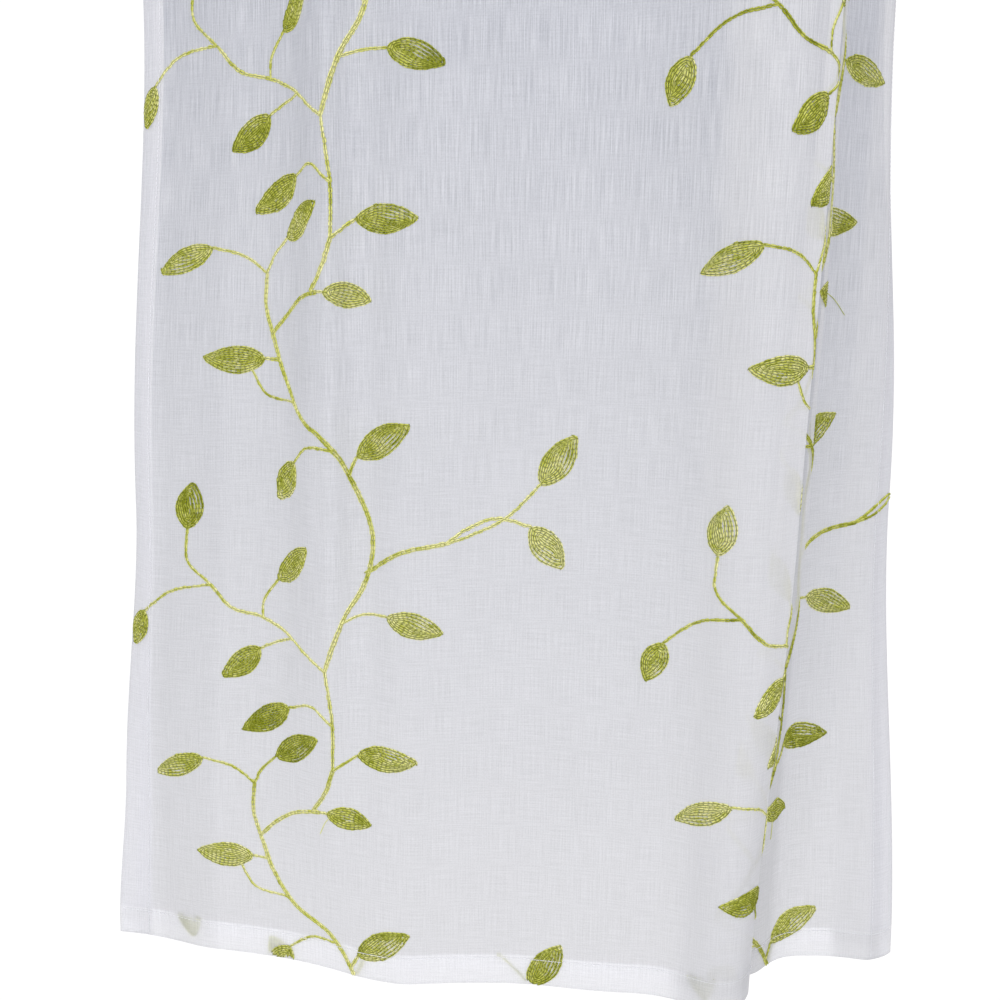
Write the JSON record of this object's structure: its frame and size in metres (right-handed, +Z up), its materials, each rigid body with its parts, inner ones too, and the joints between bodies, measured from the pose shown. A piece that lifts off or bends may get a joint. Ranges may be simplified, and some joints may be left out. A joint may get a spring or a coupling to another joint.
{
  "type": "sheer voile curtain",
  "caption": "Short sheer white voile curtain panel hanging in soft uneven folds with one deep fold, plain hems all round and green chain-stitched trailing leaf vines.",
  "frame": {"origin": "middle of the top edge, where the panel is held up", "axes": "+Z up, +X to the right as seen from the embroidered front, -Y out of the embroidered front"},
  "size_m": [0.528, 0.1515, 1.2051],
  "materials": {
    "voile": "sheer plain weave, matt, off-white",
    "embroidery_thread": "soft sheen, olive to yellow green"
  },
  "bodies": {
    "root": {"voile_panel": "voile"}
  },
  "joints": []
}
